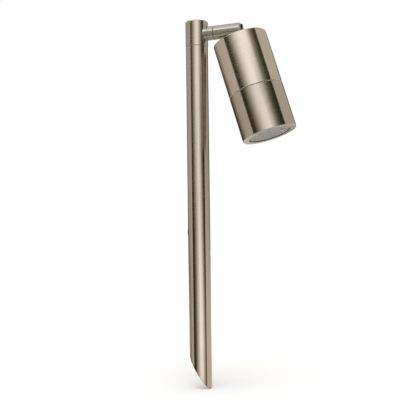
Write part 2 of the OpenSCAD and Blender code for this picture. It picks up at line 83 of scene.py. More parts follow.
# Cosines of the angle between an axis and the way a face looks: past the first it is an end face,
# below the second a wall, near the third a chamfer, and past the last a slot's wall
END_FACE, WALL, CHAMFER, CHAMFER_LEEWAY, SLOT_WALL = 0.8, 0.5, math.sqrt(0.5), 0.05, 0.9

# Spans that hold nearly all values of a fine noise, and of a cloudy one
GRAIN_SPAN = (0.3, 0.7)
CLOUD_SPAN = (0.35, 0.65)
# Broad scratches: how much wider and longer than the fine ones, and the fine ones' share of the tone
BROAD_WIDTH, BROAD_LENGTH = 9, 1.5
FINE_SHARE = 0.6
# Smudges per metre, and the roughness that the scratches and the smudges take away and add
SMUDGES = 38.0
SCRATCH_WEAR, SMUDGE_WEAR = (-0.03, 0.03), (-0.015, 0.02)

# The other finishes: the roughness that the grain takes away and adds, the darkest and brightest
# of the colour's clouds, and how many cells of the grain lie across a cloud
METAL_WEAR, MOULDED_WEAR, GLASS_WEAR = (-0.06, 0.08), (-0.05, 0.05), (-0.06, 0.06)
METAL_MOTTLE, GLASS_MOTTLE = (0.88, 1.08), (0.97, 1.03)
METAL_CLOUD, MOULDED_CLOUD = 9, 12

# Steps of the thread's ridge in a turn, and the places of its four points across it, in pitches
RIDGE_STEPS = 96
RIDGE_SHARES = (-0.36, -0.07, 0.07, 0.36)

# The light tent, as pairs of a height above the ground line in metres and a value there. Places,
# halves, ends and leans are azimuths from the camera in degrees, positive to the right. First come
# the places where the glow has risen and fallen by half, and half the widths of the rise and fall.
RISE_PLACES = ((-0.2, -15), (0, -20), (0.1, -27), (0.3, -34), (0.4, -35), (0.55, -29), (0.66, -29),
               (0.9, -44))
RISE_HALVES = ((0.1, 36), (0.3, 31), (0.38, 28))
FALL_PLACES = ((-0.25, 48), (0, 35), (0.15, 28), (0.3, 25), (0.41, 24), (0.46, 44), (0.49, 44),
               (0.52, 18), (0.6, 13), (0.68, 18), (0.8, 34))
FALL_HALVES = ((0, 24), (0.3, 28), (0.45, 28), (0.6, 24), (0.8, 33))
# The glow's highest level
PEAKS = ((-0.6, 0.5), (-0.4, 1.3), (-0.24, 1.88), (-0.12, 1.63), (0, 1.43), (0.12, 1.27),
         (0.34, 1.34), (0.45, 1.56), (0.5, 1.58), (0.56, 1.36), (0.64, 0.98), (0.8, 1.18))
# The narrow brighter strip in the glow
STRIP_PLACES = ((-0.2, 7), (0.3, 5), (0.5, 9), (0.55, 0))
STRIP_GAINS = ((-0.1, 0.3), (0.1, 0.2), (0.3, 0.2), (0.45, 0.45), (0.5, 0.45), (0.53, 0.05))
STRIP_HALF = 7
# The flags' outer edges: how far the left one leans, how far the right one leans once the height has
# gone through a span, and half the width over which both are soft
LEFT_EDGE_LEAN = ((-0.24, 5.5), (0, 2), (0.2, -0.5), (0.4, -1.5))
RIGHT_EDGE_LEAN, RIGHT_EDGE_HEIGHTS = 2, (0.3, 0.6)
EDGE_HALF = 1
# The grey cards: where they end, what their levels gain towards the camera over a span of azimuths,
# what the left one loses above the object and low down at its far edge, and what the right one
# gains by height
LEFT_CARD_ENDS, LEFT_END_HALF = ((-0.1, -122), (0.1, -140), (0.3, -143), (0.45, -147)), 8
RIGHT_CARD_END = (134, 148)
LEFT_NEAR_GAIN, LEFT_NEAR_SPAN = 0.08, (-122, -90)
RIGHT_NEAR_GAIN, RIGHT_NEAR_SPAN = 0.07, (125, 80)
LEFT_TOP_LOSS, LEFT_TOP_HEIGHTS = 0.3, (0.5, 0.62)
LEFT_LOW_LOSS, LEFT_LOW_SPAN, LEFT_LOW_HEIGHTS = 0.5, (-85, -120), (0.05, -0.12)
RIGHT_CARD_GAINS = ((-0.24, 0.17), (-0.05, 0.1), (0.1, -0.08), (0.25, -0.12), (0.5, 0))
# The dark opening behind the object, the pale band low in it with the heights of its upper and lower
# edges, and the heights over which the backdrop begins
OPENING_LEVEL = 0.07
LOW_BAND_GAIN, LOW_BAND_TOP, LOW_BAND_FOOT = 0.82, (-0.05, -0.2), (-0.65, -0.45)
BACKDROP_HEIGHTS = (0.5, 0.75)
# The ceiling's pale edge: the heights over which it begins, its left and right ends, and the shares
# of the ceiling's radius over which it turns into the middle
CEILING_HEIGHTS = (0.64, 0.76)
AHEAD_LEFT, AHEAD_RIGHT = (-95, -72), (40, 10)
CEILING_RING = (0.5, 0.75)
# How far the cloth warms by height where it is dim, down to which share of white, and how much
# further its blue sinks
WARMTH = ((0.25, 0.11), (0.4, 0.06))
DIMMEST_SHARE = 0.27
BLUE_POWER = 0.17
# Steps round the tent, up its wall and from its axis to its rim, and the share of the radius at
# which the last begin
TENT_STEPS, WALL_STEPS, RIM_STEPS, RIM_START = 720, 44, 16, 0.004
# Half the floor's width, the white that is seen on it near and far, and the distances of these
FLOOR_HALF = 4.0
FLOOR_WHITE = (0.21, 0.6)
FLOOR_FADE = (0.05, 0.6)
# The world's strength as light, and as the camera, gloss and glass see it
WORLD_LIGHT, WORLD_WHITE = 0.6, 1.0

# Looks of the nickel that differ from the settings' defaults
# The chamfer colours paint the light and shade of the seams: lighter than the nickel on the head and arm
LOOKS = {
    "post": {"chamfer_lit_colour": (0.50, 0.45, 0.40)},
    "arm": {"colour": (0.475, 0.435, 0.39), "chamfer_lit_colour": (0.60, 0.56, 0.51), "roughness": 0.27},
    "rear": {"colour": (0.586, 0.52, 0.447), "chamfer_lit_colour": (0.72, 0.69, 0.65)},
    "front": {"colour": (0.488, 0.433, 0.372), "chamfer_lit_colour": (0.72, 0.69, 0.65)},
}


class Finish:
    """A new material, or world, and the calls that build its nodes."""

    def __init__(self, name, blocks="materials", output="OutputMaterial"):
        self.block = getattr(bpy.data, blocks).new(name)
        self.block.use_nodes = True
        self.tree = self.block.node_tree
        self.tree.nodes.clear()
        self.output = self.node(output)

    def node(self, kind, inputs=(), **settings):
        """A node with its settings; inputs pairs a socket's name or number with a value or a socket."""
        made = self.tree.nodes.new("ShaderNode" + kind)
        for key, value in settings.items():
            setattr(made, key, value)
        for key, value in dict(inputs).items():
            if isinstance(value, bpy.types.NodeSocket):
                self.tree.links.new(value, made.inputs[key])
            else:
                made.inputs[key].default_value = value
        return made

    def place(self):
        """Position on the piece, in the shared frame."""
        return self.node("TexCoord").outputs["Object"]

    def facing(self):
        """Direction that the surface faces, in the shared frame."""
        return self.node("TexCoord").outputs["Normal"]

    def seen(self):
        """1 for what the camera sees, also in gloss and through glass, and 0 for light on the rest."""
        path = self.node("LightPath").outputs
        seen = self.number("MAXIMUM", path["Is Camera Ray"], path["Is Glossy Ray"])
        return self.number("MAXIMUM", seen, path["Is Transmission Ray"])

    def number(self, operation, *terms):
        """Arithmetic on numbers."""
        return self.node("Math", enumerate(terms), operation=operation).outputs[0]

    def vector(self, operation, *terms):
        """Arithmetic on vectors; a dot product or a length comes out as one number."""
        made = self.node("VectorMath", enumerate(terms), operation=operation)
        return made.outputs["Value" if operation in ("DOT_PRODUCT", "LENGTH") else "Vector"]

    def times(self, vector, number):
        """A vector times a number, either of them a socket."""
        return self.node("VectorMath", {0: vector, "Scale": number}, operation="SCALE").outputs[0]

    def noise(self, vector, scale, detail=2.0, roughness=0.5):
        """Noise from 0 to 1 at a number of cells per metre."""
        inputs = {"Vector": vector, "Scale": scale, "Detail": detail, "Roughness": roughness}
        return self.node("TexNoise", inputs).outputs["Fac"]

    def remap(self, value, span, low=0.0, high=1.0):
        """A number taken from a span to between low and high, and held there beyond the span."""
        inputs = {"Value": value, "From Min": span[0], "From Max": span[1],
                  "To Min": low, "To Max": high}
        return self.node("MapRange", inputs).outputs[0]

    def blend(self, share, first, second, kind="RGBA"):
        """A colour, vector or number between two others, in the Mix node's sockets for its kind."""
        start, end, result = {"RGBA": (6, 7, 2), "VECTOR": (4, 5, 1), "FLOAT": (2, 3, 0)}[kind]
        return self.node("Mix", {0: share, start: first, end: second}, data_type=kind).outputs[result]

    def mottled(self, colour, scale, low, high):
        """A colour in that many clouds per metre, from low to high times as bright."""
        clouds = self.remap(self.noise(self.place(), scale), CLOUD_SPAN)
        return self.blend(clouds, opaque(colour, low), opaque(colour, high))

    def worn(self, grain, roughness, wear):
        """A roughness that a fine noise lowers and raises by the two numbers of wear."""
        return self.remap(grain, GRAIN_SPAN, roughness + wear[0], roughness + wear[1])

    def bump(self, height, depth):
        """A surface direction that follows a height of that depth in metres."""
        return self.node("Bump", {"Height": height, "Distance": depth}).outputs[0]

    def end_in(self, kind, inputs):
        """Ends the material or world in one shader of that kind, and gives it back."""
        shader = self.node(kind, inputs).outputs[0]
        self.tree.links.new(shader, self.output.inputs["Surface"])
        return self.block


def opaque(colour, gain=1.0):
    """A colour times a gain, with full alpha."""
    return tuple(channel * gain for channel in colour[:3]) + (1.0,)


def dress(nodes, material):
    """Gives every slot of these CAD nodes' objects the material."""
    for name in nodes:
        piece = frame["nodes"][name]
        if not piece.material_slots:
            piece.data.materials.append(None)
        for slot in piece.material_slots:
            slot.material = material


def dress_slot(slot, make, colour, **settings):
    """Gives all nodes of a material slot one material of its name, made by moulded or plain_metal."""
    dress(NODES_OF_SLOT[slot], make(slot, colour, **settings))


def turned_metal(name, look, axis, point, cut_plane=None, shaded_bore=None, shaded_slot=None):
    """Metal brushed on a lathe. With the place split into a distance along the axis and one out from
    it, the scratches are noise that is coarse round the axis and fine along it, or fine outwards on
    faces square to the axis. Light spreads across the scratches, and round the axis on chamfers,
    which are rougher. Chamfers take their own colour, which paints the light and shade of the seams.
    The edge of a cut plane gets a dark line. A bore of that radius, and the walls of a slot of that
    half width, are darkened as painted shade."""
    finish = Finish(name)
    from_point = finish.vector("SUBTRACT", finish.place(), point)
    along = finish.vector("DOT_PRODUCT", from_point, axis)
    out_vector = finish.vector("SUBTRACT", from_point, finish.times(axis, along))
    out = finish.vector("LENGTH", out_vector)
    out_direction = finish.vector("NORMALIZE", out_vector)
    tilt = finish.number("ABSOLUTE", finish.vector("DOT_PRODUCT", finish.facing(), axis))
    end_face = finish.number("GREATER_THAN", tilt, END_FACE)
    chamfer = finish.number("COMPARE", tilt, CHAMFER, CHAMFER_LEEWAY)
    across = finish.blend(end_face, along, out, "FLOAT")

    def scratches(width, length, detail):
        """Noise in streaks of that width and length, in metres."""
        stretched = finish.vector(
            "ADD", finish.times(out_direction, look.radius / length),
            finish.times(axis, finish.number("DIVIDE", across, width)))
        return finish.noise(stretched, 1.0, detail)

    fine = scratches(look.scratch_width, look.scratch_length, 2.0)
    broad = scratches(look.scratch_width * BROAD_WIDTH, look.scratch_length * BROAD_LENGTH, 1.0)
    smudge = finish.noise(finish.place(), SMUDGES, 3.0)
    tone = finish.number("ADD", finish.number("MULTIPLY", fine, FINE_SHARE),
                         finish.number("MULTIPLY", broad, 1 - FINE_SHARE))
    colour = finish.blend(finish.remap(tone, GRAIN_SPAN), opaque(look.colour, 1 - look.streak),
                          opaque(look.colour, 1 + look.streak))
    # The chamfers' own colour is painted light and shade of the seams
    colour = finish.blend(chamfer, colour, opaque(look.chamfer_lit_colour))
    # Painted shade: the walls of the bore are darkened to a tenth of the nickel's colour
    if shaded_bore:
        wall = finish.number("LESS_THAN", tilt, WALL)
        inside = finish.number("MULTIPLY", wall, finish.number("LESS_THAN", out, shaded_bore))
        colour = finish.blend(inside, colour, opaque(look.colour, BORE_SHADE_GAIN))
    # Painted shade: the walls of the fork's slot are darkened, standing in for the shade deep in the slot
    if shaded_slot:
        aside = finish.vector("DOT_PRODUCT", finish.facing(), SCREW_AXIS)
        wall = finish.number("GREATER_THAN", finish.number("ABSOLUTE", aside), SLOT_WALL)
        off_middle = finish.vector("DOT_PRODUCT", from_point, SCREW_AXIS)
        near = finish.number("LESS_THAN", finish.number("ABSOLUTE", off_middle), shaded_slot)
        inside = finish.number("MULTIPLY", wall, near)
        colour = finish.blend(inside, colour, opaque(look.colour, SLOT_SHADE_GAIN))
    # A dark line is drawn along the edge of the cut plane
    if cut_plane:
        corner, normal = cut_plane
        from_corner = finish.vector("SUBTRACT", finish.place(), corner)
        above_cut = finish.vector("DOT_PRODUCT", from_corner, normal)
        line = finish.remap(above_cut, (0.0, CUT_LINE), CUT_STRENGTH, 0.0)
        colour = finish.blend(line, colour, opaque(look.colour, CUT_GAIN))
    worn = finish.worn(tone, look.roughness, SCRATCH_WEAR)
    worn = finish.number("ADD", worn, finish.remap(smudge, CLOUD_SPAN, *SMUDGE_WEAR))
    worn = finish.number("ADD", worn, finish.number("MULTIPLY", chamfer, look.chamfer_roughness))
    spread = finish.blend(end_face, axis, out_direction, "VECTOR")
    round_axis = finish.vector("CROSS_PRODUCT", out_direction, axis)
    spread = finish.blend(chamfer, spread, round_axis, "VECTOR")
    tangent = finish.node(
        "VectorTransform", {0: spread}, vector_type="VECTOR",
        convert_from="OBJECT", convert_to="WORLD").outputs[0]
    return finish.end_in("BsdfPrincipled", {
        "Base Color": colour,
        "Metallic": 1.0,
        "Roughness": worn,
        "Anisotropic": look.anisotropy,
        "Tangent": tangent,
        "Normal": finish.bump(fine, look.scratch_depth),
    })


def plain_metal(name, colour, roughness, grain=900.0, depth=4e-6):
    """Plated or blackened metal with a fine tumbled grain and patches of wear."""
    finish = Finish(name)
    pits = finish.noise(finish.place(), grain, 3.0, 0.6)
    return finish.end_in("BsdfPrincipled", {
        "Base Color": finish.mottled(colour, grain / METAL_CLOUD, *METAL_MOTTLE),
        "Metallic": 1.0,
        "Roughness": finish.worn(pits, roughness, METAL_WEAR),
        "Normal": finish.bump(pits, depth),
    })


def moulded(name, colour, roughness, grain=1500.0, depth=6e-6, coat=0.0, mottle=0.05):
    """Rubber, plastic or glazed ceramic: a fine moulded grain under a slightly uneven colour."""
    finish = Finish(name)
    pits = finish.noise(finish.place(), grain)
    return finish.end_in("BsdfPrincipled", {
        "Base Color": finish.mottled(colour, grain / MOULDED_CLOUD, 1 - mottle, 1 + mottle),
        "Roughness": finish.worn(pits, roughness, MOULDED_WEAR),
        "Coat Weight": coat,
        "Coat Roughness": 0.08,
        "Normal": finish.bump(pits, depth),
    })


def etched_glass(name, look):
    """Frosted glass: a milky body with an etched grain that blurs what lies behind it."""
    finish = Finish(name)
    grain = finish.noise(finish.place(), look.grain)
    return finish.end_in("BsdfPrincipled", {
        "Base Color": finish.mottled(look.colour, look.clouds, *GLASS_MOTTLE),
        "Roughness": finish.worn(grain, look.roughness, GLASS_WEAR),
        "IOR": 1.5,
        "Transmission Weight": look.transmission,
        "Normal": finish.bump(grain, look.grain_depth),
    })


def surface_of(name, points, faces, body=None):
    """A smooth mesh object from a grid's points and its four-sided faces."""
    mesh = bpy.data.meshes.new(name)
    mesh.from_pydata(points.tolist(), [], faces.tolist())
    mesh.polygons.foreach_set("use_smooth", np.ones(len(faces), bool))
    mesh.update()
    made = bpy.data.objects.new(name, mesh)
    bpy.context.scene.collection.objects.link(made)
    if body:
        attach(made, body)
    return made


def grid_faces(rows, columns):
    """Four-sided faces between neighbours of a rows by columns grid whose rows are closed rings."""
    ring = columns * np.arange(rows - 1)[:, None]
    column = np.arange(columns)[None, :]
    after = (column + 1) % columns
    corners = [ring + column, ring + after, ring + columns + after, ring + columns + column]
    return np.stack(corners, -1).reshape(-1, 4)


def eased(start, end, value):
    """0 before start, 1 after end, and 3t^2 - 2t^3 between them."""
    t = np.clip((value - start) / (end - start), 0, 1)
    return t * t * (3 - 2 * t)


def thread_ridge(name, body, thread, depth, shift):
    """A thread's ridge, of four points at each angle a. They lie at radius + h out from the head's
    axis and at start + pitch (a / 2 pi + w + shift) down it, where w runs across the ridge and h is
    sunk a little at its two feet and depth at its two crests. Over the first and last quarter turn
    the crests sink to nothing."""
    turns = (thread.end - thread.start) / thread.pitch - shift
    angle = np.linspace(0, turns * math.tau, round(turns * RIDGE_STEPS) + 1)[:, None]
    across = thread.pitch * np.array(RIDGE_SHARES)
    crest = np.array([0, 1, 1, 0])
    rise = eased(0, math.pi / 2, angle) * eased(0, math.pi / 2, angle[-1] - angle)
    out = thread.radius + depth * (crest * rise - thread.foot * (1 - crest * rise))
    down = thread.start + thread.pitch * (angle / math.tau + shift) + across
    side = np.array(HEAD_AXIS.cross(SCREW_AXIS))
    round_axis = np.cos(angle)[..., None] * side + np.sin(angle)[..., None] * np.array(SCREW_AXIS)
    points = np.array(HEAD_POINT) - down[..., None] * np.array(HEAD_AXIS) + out[..., None] * round_axis
    points = points.reshape(-1, 3)
    last = len(points) - 4
    ends = np.array([[0, 1, 2, 3], [last + 3, last + 2, last + 1, last]])
    faces = np.vstack([ends, grid_faces(len(angle), 4)])
    first, second, third = (points[faces[:, i]] for i in range(3))
    volume = (np.cross(first - points[0], second - points[0]) * (third - points[0])).sum()
    return surface_of(name, points, faces if volume > 0 else faces[:, ::-1], body)


class NickelLook(PropertyGroup):
    """Brushed nickel of one group of pieces."""

    colour: FloatVectorProperty(
        name="Colour", description="Colour of the light that the metal sends back",
        subtype="COLOR", size=3, min=0, max=1, default=(0.50, 0.433, 0.366))
    roughness: FloatProperty(
        name="Roughness", description="Mean roughness of the brushed surface",
        min=0.05, max=0.8, default=0.15)
    # A colour that paints the light and shade of the seams on the chamfers
    chamfer_lit_colour: FloatVectorProperty(
        name="Chamfer colour", description="Colour of the chamfered edges",
        subtype="COLOR", size=3, min=0, max=1, default=(0.85, 0.82, 0.78))
    chamfer_roughness: FloatProperty(
        name="Chamfer roughness", description="Roughness that the chamfers have on top of it",
        min=0, max=0.8, default=0.6)
    anisotropy: FloatProperty(
        name="Anisotropy", description="How much further light spreads across the scratches",
        min=0, max=1, default=1.0)
    streak: FloatProperty(
        name="Streak", description="How far the scratches lighten and darken the colour",
        min=0, max=0.2, default=0.03)
    scratch_width: FloatProperty(
        name="Scratch width", description="Width of a fine scratch",
        subtype="DISTANCE", default=0.00016)
    scratch_length: FloatProperty(
        name="Scratch length", description="Length of a scratch round the axis",
        subtype="DISTANCE", default=0.012)
    scratch_depth: FloatProperty(
        name="Scratch depth", description="Depth of a fine scratch",
        subtype="DISTANCE", default=0.0000007)
    radius: FloatProperty(
        name="Radius", description="Radius of the turned piece", subtype="DISTANCE", default=0.0125)


class LensLook(PropertyGroup):
    """Frosted lens."""

    colour: FloatVectorProperty(
        name="Colour", description="Body colour of the frosted glass",
        subtype="COLOR", size=3, min=0, max=1, default=(0.41, 0.40, 0.375))
    roughness: FloatProperty(
        name="Roughness", description="Mean roughness of the etched face",
        min=0.1, max=1, default=0.75)
    transmission: FloatProperty(
        name="Transmission", description="Share of the light that passes through",
        min=0, max=1, default=0.15)
    grain: FloatProperty(
        name="Grain", description="Cells of the etched grain per metre", default=2600.0)
    grain_depth: FloatProperty(
        name="Grain depth", description="Depth of the etched grain",
        subtype="DISTANCE", default=5e-6)
    clouds: FloatProperty(
        name="Clouds", description="Faint clouds in the glass per metre", default=90.0)


class SmallPartsLook(PropertyGroup):
    """Colours of the seals, the hardware and the lamp."""

    rubber: FloatVectorProperty(
        name="Rubber", description="Colour of the seals and grommets",
        subtype="COLOR", size=3, min=0, max=1, default=(0.022, 0.021, 0.020))
    brass: FloatVectorProperty(
        name="Brass", description="Colour of the stud",
        subtype="COLOR", size=3, min=0, max=1, default=(0.78, 0.60, 0.30))
    steel: FloatVectorProperty(
        name="Steel", description="Colour of the stainless screws",
        subtype="COLOR", size=3, min=0, max=1, default=(0.50, 0.49, 0.47))
    zinc: FloatVectorProperty(
        name="Zinc", description="Colour of the plated bracket, washer and nut",
        subtype="COLOR", size=3, min=0, max=1, default=(0.66, 0.67, 0.69))
    black: FloatVectorProperty(
        name="Black", description="Colour of the black anodised ring",
        subtype="COLOR", size=3, min=0, max=1, default=(0.045, 0.045, 0.047))
    ceramic: FloatVectorProperty(
        name="Ceramic", description="Colour of the lamp holder and terminal block",
        subtype="COLOR", size=3, min=0, max=1, default=(0.84, 0.82, 0.76))
    # The knuckle's and the washers' colours are near black as painted shade of the fork's slot
    knuckle: FloatVectorProperty(
        name="Knuckle", description="Colour of the blackened tilt knuckle",
        subtype="COLOR", size=3, min=0, max=1, default=(0.022, 0.02, 0.018))
    nylon: FloatVectorProperty(
        name="Nylon", description="Colour of the friction washers",
        subtype="COLOR", size=3, min=0, max=1, default=(0.03, 0.03, 0.03))
    lamp: FloatVectorProperty(
        name="Lamp", description="Colour of the lamp's shell and base",
        subtype="COLOR", size=3, min=0, max=1, default=(0.80, 0.80, 0.78))


class StudioLook(PropertyGroup):
    """Light tent, floor and camera."""

    tent_radius: FloatProperty(
        name="Tent radius", description="Radius of the light tent round the post",
        subtype="DISTANCE", default=0.95)
    tent_top: FloatProperty(
        name="Tent top", description="Height of the tent's ceiling above the ground line",
        subtype="DISTANCE", default=1.15)
    tent_bottom: FloatProperty(
        name="Tent bottom", description="Height of the tent's underside",
        subtype="DISTANCE", default=-1.0)
    left_edge: FloatProperty(
        name="Left edge", description="Azimuth of the left flag's outer edge from the camera",
        subtype="ANGLE", default=math.radians(-71))
    right_edge: FloatProperty(
        name="Right edge", description="Azimuth of the right flag's outer edge from the camera",
        subtype="ANGLE", default=math.radians(69))
    flag_level: FloatProperty(
        name="Flag level", description="Brightness of the dark flags", default=0.04)
    card_level: FloatProperty(
        name="Card level", description="Brightness of the grey side cards", default=0.66)
    back_level: FloatProperty(
        name="Backdrop level", description="Brightness of the tent behind the object", default=1.27)
    ceiling_level: FloatProperty(
        name="Ceiling level", description="Brightness of the ceiling's outer ring", default=1.75)
    overhead_level: FloatProperty(
        name="Overhead level", description="Brightness of the ceiling's middle", default=1.1)
    under_level: FloatProperty(
        name="Underside level", description="Brightness of the tent's underside", default=0.9)
    white_level: FloatProperty(
        name="White level", description="Brightness at which the cloth is white; below it, it warms",
        default=1.49)
    floor_colour: FloatVectorProperty(
        name="Floor", description="Colour of the floor",
        subtype="COLOR", size=3, min=0, max=1, default=(0.92, 0.93, 0.96))
    lamp_size: FloatProperty(
        name="Lamp size", description="Width of the lamp above the object",
        subtype="DISTANCE", default=0.7)
    lamp_power: FloatProperty(
        name="Lamp power", description="Power of the lamp above the object",
        subtype="POWER", default=3.0)
    lamp_place: FloatVectorProperty(
        name="Lamp place", description="Place of the lamp above the object",
        subtype="TRANSLATION", size=3, default=(0.1, -0.25, 1.05))
    lamp_turn: FloatVectorProperty(
        name="Lamp turn", description="Turn of the lamp from facing straight down",
        subtype="EULER", size=3, default=(math.radians(14), math.radians(4), 0))
    camera_place: FloatVectorProperty(
        name="Camera", description="Place of the camera",
        subtype="TRANSLATION", size=3, precision=5, default=(0.37585, -0.79802, 0.03396))
    camera_turn: FloatProperty(
        name="Turn", description="Turn of the camera about the vertical, from looking along +Y",
        subtype="ANGLE", default=math.radians(25.13))
    camera_pitch: FloatProperty(
        name="Pitch", description="Upward pitch of the camera",
        subtype="ANGLE", default=math.radians(1.705))
    camera_roll: FloatProperty(
        name="Roll", description="Roll of the camera about its own axis",
        subtype="ANGLE", default=math.radians(0.701))
    camera_lens: FloatProperty(
        name="Lens", description="Focal length in millimetres on a 36 mm wide picture",
        default=70.425)


class ThreadSizes(PropertyGroup):
    """Thread between the rear and the front housing."""

    radius: FloatProperty(
        name="Radius", description="Radius of the wall that carries the thread",
        subtype="DISTANCE", default=0.0285)
    start: FloatProperty(
        name="Start", description="Distance of its first turn from the tilt pivot, down the head's axis",
        subtype="DISTANCE", default=0.0780)
    end: FloatProperty(
        name="End", description="Distance of its last turn from the tilt pivot",
        subtype="DISTANCE", default=0.0828)
    pitch: FloatProperty(
        name="Pitch", description="Distance between turns", subtype="DISTANCE", default=0.0012)
    depth: FloatProperty(
        name="Depth", description="Height of the ridge", subtype="DISTANCE", default=0.0004)
    foot: FloatProperty(
        name="Foot", description="Share of the depth by which its feet sink into the wall", default=0.3)


class SpotlightSettings(PropertyGroup):
    """All that a user may change."""

    post: PointerProperty(type=NickelLook)
    arm: PointerProperty(type=NickelLook)
    rear: PointerProperty(type=NickelLook)
    front: PointerProperty(type=NickelLook)
    thread: PointerProperty(type=ThreadSizes)
    lens: PointerProperty(type=LensLook)
    small: PointerProperty(type=SmallPartsLook)
    studio: PointerProperty(type=StudioLook)


class SPOTLIGHT_OT_post(Operator):
    """Brush the post, its cap and the slanted point"""

    bl_idname = "spotlight.post"
    bl_label = "Finish the post"

    def execute(self, context):
        look = context.scene.spotlight.post
        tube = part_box("stake_tube")
        corner = (tube[1].x, 0, tube[0].z)
        above_cut = (math.sin(CUT_ANGLE), 0, math.cos(CUT_ANGLE))
        nickel = turned_metal("post_nickel", look, POST_AXIS, POST_POINT,
                              cut_plane=(corner, above_cut))
        dress(NODES_OF_SLOT["post_nickel"], nickel)
        return {"FINISHED"}


class SPOTLIGHT_OT_arm(Operator):
    """Brush the saddle, collar and fork arm"""

    bl_idname = "spotlight.arm"
    bl_label = "Finish the arm"

    def execute(self, context):
        look = context.scene.spotlight.arm
        look.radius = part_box("fork_arm")[1].y
        nickel = turned_metal("arm_nickel", look, ARM_AXIS, ARM_POINT, shaded_slot=SHADED_SLOT_HALF)
        dress(NODES_OF_SLOT["arm_nickel"], nickel)
        return {"FINISHED"}


class SPOTLIGHT_OT_head(Operator):
    """Brush the two housings of the lamp head"""

    bl_idname = "spotlight.head"
    bl_label = "Finish the head"

    def execute(self, context):
        settings = context.scene.spotlight
        for half, look in (("rear", settings.rear), ("front", settings.front)):
            look.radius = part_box("rear_housing")[1].y
            nickel = turned_metal(half + "_nickel", look, HEAD_AXIS, HEAD_POINT,
                                  shaded_bore=SHADED_BORE_RADIUS)
            dress([half + "_housing"], nickel)
        return {"FINISHED"}


class SPOTLIGHT_OT_thread(Operator):
    """Cut the thread between the two housings"""

    bl_idname = "spotlight.thread"
    bl_label = "Cut the head's thread"

    def execute(self, context):
        thread = context.scene.spotlight.thread
        for name, body, half, depth, shift in (
                ("spigot_thread", "head", "rear", thread.depth, 0.0),
                ("sleeve_thread", "front", "front", -thread.depth, 0.5)):
            ridge = thread_ridge(name, body, thread, depth, shift)
            ridge.data.materials.append(bpy.data.materials[half + "_nickel"])
        return {"FINISHED"}


class SPOTLIGHT_OT_lens(Operator):
    """Frost the flat lens"""

    bl_idname = "spotlight.lens"
    bl_label = "Finish the lens"

    def execute(self, context):
        dress(NODES_OF_SLOT["lens_frost"], etched_glass("lens_frost", context.scene.spotlight.lens))
        return {"FINISHED"}


class SPOTLIGHT_OT_small_parts(Operator):
    """Finish the seals, screws, washers, bracket and stud"""

    bl_idname = "spotlight.small_parts"
    bl_label = "Finish the small parts"

    def execute(self, context):
        small = context.scene.spotlight.small
        dress_slot("seal_rubber", moulded, small.rubber, roughness=0.62)
        # The washers and the knuckle are near black: painted shade of the fork's slot
        dress_slot("washer_nylon", moulded, small.nylon, roughness=0.45)
        dress_slot("stud_brass", plain_metal, small.brass, roughness=0.28)
        dress_slot("screw_steel", plain_metal, small.steel, roughness=0.30)
        dress_slot("sheet_steel", plain_metal, small.zinc, roughness=0.36, grain=300.0)
        dress_slot("keeper_black", plain_metal, small.black, roughness=0.42)
        dress_slot("knuckle_dark", plain_metal, small.knuckle, roughness=0.36)
        return {"FINISHED"}


class SPOTLIGHT_OT_lamp(Operator):
    """Finish the lamp, its holder and the terminal block"""

    bl_idname = "spotlight.lamp"
    bl_label = "Finish the lamp"

    def execute(self, context):
        small = context.scene.spotlight.small
        dress_slot("ceramic_white", moulded, small.ceramic, roughness=0.32, grain=700.0, depth=3e-6,
                   coat=0.5)
        dress_slot("lamp_white", moulded, small.lamp, roughness=0.38)
        dress_slot("lamp_diffuser", moulded, small.lamp, roughness=0.5, mottle=0.02)
        return {"FINISHED"}


def at_height(pairs, height):
    """The value at a height, on straight lines between pairs of a height and a value."""
    heights, values = zip(*pairs)
    return np.interp(height, heights, values)


def glow_level(azimuth, height, studio):
    """Brightness of the part that faces the object: a rise times a fall, both 3t^2 - 2t^3, over the
    flags' level, and a narrow brighter strip. Their places, widths and peaks follow the height."""
    rise_at, rise_half = at_height(RISE_PLACES, height), at_height(RISE_HALVES, height)
    fall_at, fall_half = at_height(FALL_PLACES, height), at_height(FALL_HALVES, height)
    rise = eased(rise_at - rise_half, rise_at + rise_half, azimuth)
    fall = eased(fall_at + fall_half, fall_at - fall_half, azimuth)
    glow = studio.flag_level + (at_height(PEAKS, height) - studio.flag_level) * rise * fall
    from_strip = azimuth - at_height(STRIP_PLACES, height)
    strip = eased(-STRIP_HALF, 0, from_strip) * eased(STRIP_HALF, 0, from_strip)
    return glow + strip * at_height(STRIP_GAINS, height)


def card_level(azimuth, height, studio):
    """Brightness of the grey cards. The left one dims towards its far edge, most of all low down, and
    above the object. The right one follows the height and dims towards its far edge."""
    left = studio.card_level + LEFT_NEAR_GAIN * (eased(*LEFT_NEAR_SPAN, azimuth) - 0.5)
    left = left - LEFT_TOP_LOSS * eased(*LEFT_TOP_HEIGHTS, height)
    low_end = eased(*LEFT_LOW_SPAN, azimuth) * eased(*LEFT_LOW_HEIGHTS, height)
    left = left * (1 - LEFT_LOW_LOSS * low_end)
    right = studio.card_level + at_height(RIGHT_CARD_GAINS, height)
    right = right + RIGHT_NEAR_GAIN * eased(*RIGHT_NEAR_SPAN, azimuth)
    return np.where(azimuth < 0, left, right)


def back_level(height, studio):
    """Brightness behind the object: a dark opening with a pale band low down and the backdrop above."""
    low_band = LOW_BAND_GAIN * eased(*LOW_BAND_TOP, height) * eased(*LOW_BAND_FOOT, height)
    backdrop = (studio.back_level - OPENING_LEVEL) * eased(*BACKDROP_HEIGHTS, height)
    return OPENING_LEVEL + low_band + backdrop


